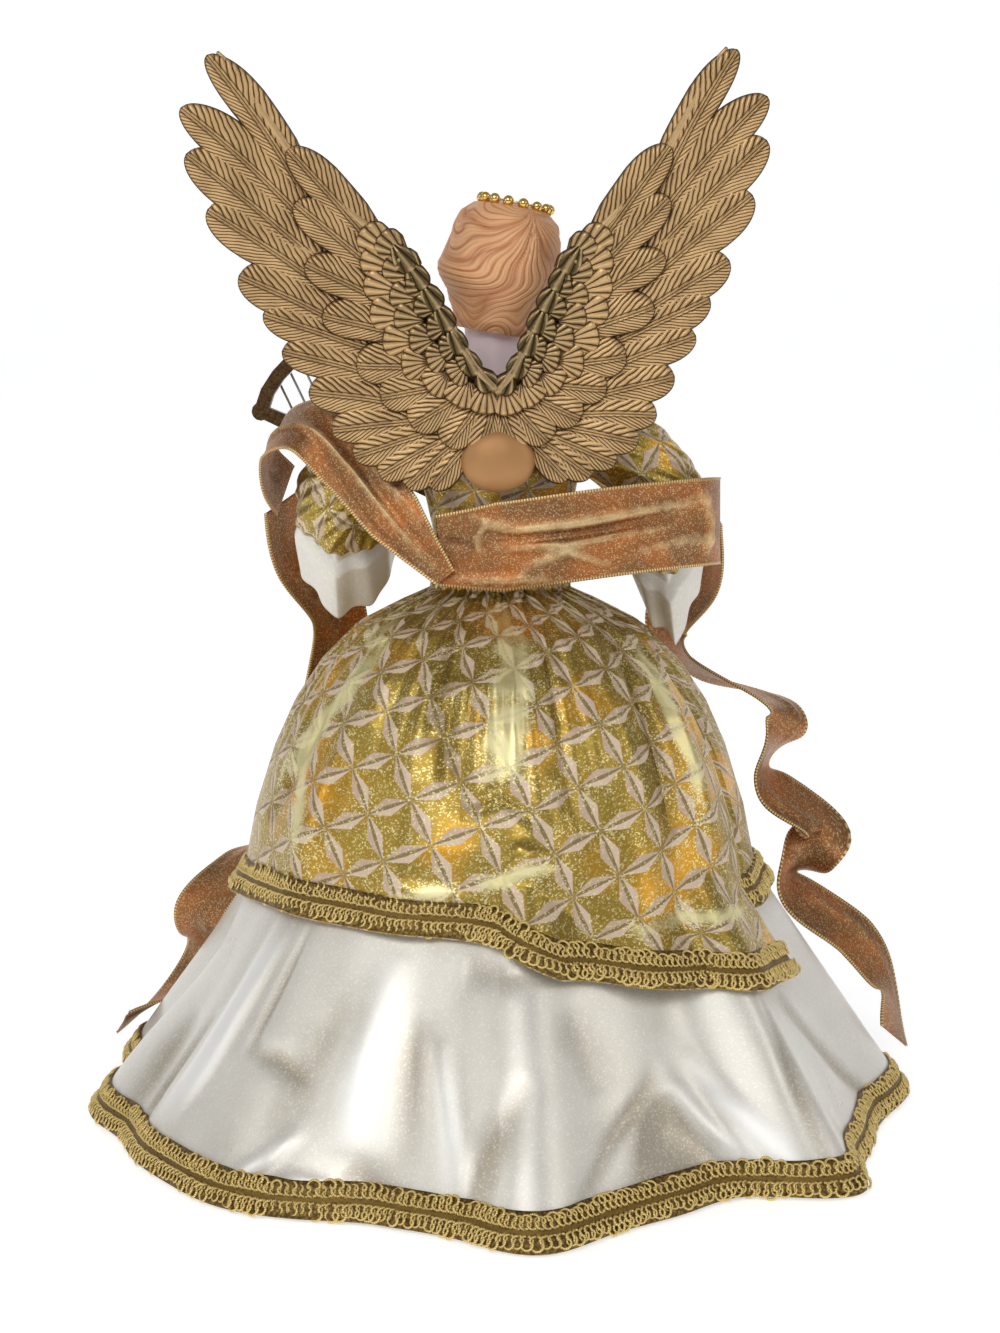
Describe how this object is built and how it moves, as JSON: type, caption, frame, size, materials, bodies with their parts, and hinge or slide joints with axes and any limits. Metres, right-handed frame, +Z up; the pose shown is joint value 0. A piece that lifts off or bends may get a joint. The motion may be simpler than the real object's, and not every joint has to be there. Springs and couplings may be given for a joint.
{
  "type": "angel tree topper",
  "caption": "Dressed angel figure on a card cone with feathered wings, a small harp, brocade overskirt, wide satin skirt and ribbon streamers; slips over a tree's leader.",
  "frame": {"origin": "centre of the object's box on the surface that it stands on, close to the axis of the cone", "axes": "+Z up through the cone to the wing tips, the face towards -Y, the wings at +Y, the angel's left hand and harp at +X"},
  "size_m": [0.3305, 0.3571, 0.4076],
  "materials": {
    "card": "plain greyboard, matt",
    "moulded_core": "as moulded, hidden by the dress",
    "painted_skin": "painted skin tone, satin",
    "moulded_hair": "moulded waves, peach-tan paint with darker grooves",
    "gilt_bead": "gilt bead on wire, bright",
    "steel_wire": "soft steel wire, hidden",
    "satin": "ivory satin with soft sheen",
    "brocade": "gold lame ground with woven six-petal stars",
    "gold_braid": "metallic gold looped gimp braid",
    "glitter_lame": "copper-bronze glitter ribbon with wired edges",
    "antique_bronze": "dark antique bronze paint, bright worn edges",
    "harp_string": "grey cord, satin",
    "gilt_moulding": "antiqued gold paint, darker in the grooves"
  },
  "bodies": {
    "root": {"base_cone": "card", "torso_core": "moulded_core", "head_bust": "painted_skin", "hair": "moulded_hair", "bead_halo": "gilt_bead", "arm_wire": "steel_wire", "bodice": "brocade", "skirt": "satin", "skirt_braid": "gold_braid", "overskirt_back": "brocade", "overskirt_front": "brocade", "overskirt_back_braid": "gold_braid", "overskirt_front_braid": "gold_braid", "waist_band": "gold_braid", "left_sleeve": "brocade", "right_sleeve": "brocade", "left_undersleeve": "satin", "right_undersleeve": "satin", "neckline_braid": "gold_braid", "back_sash": "glitter_lame", "elbow_ribbon": "glitter_lame", "left_streamer": "glitter_lame", "right_streamer": "glitter_lame", "left_hand": "painted_skin", "right_hand": "painted_skin", "harp_frame": "antique_bronze", "harp_string_1": "harp_string", "harp_string_2": "harp_string", "harp_string_3": "harp_string", "harp_string_4": "harp_string", "harp_string_5": "harp_string", "harp_string_6": "harp_string", "harp_string_7": "harp_string", "wings": "gilt_moulding"}
  },
  "joints": []
}
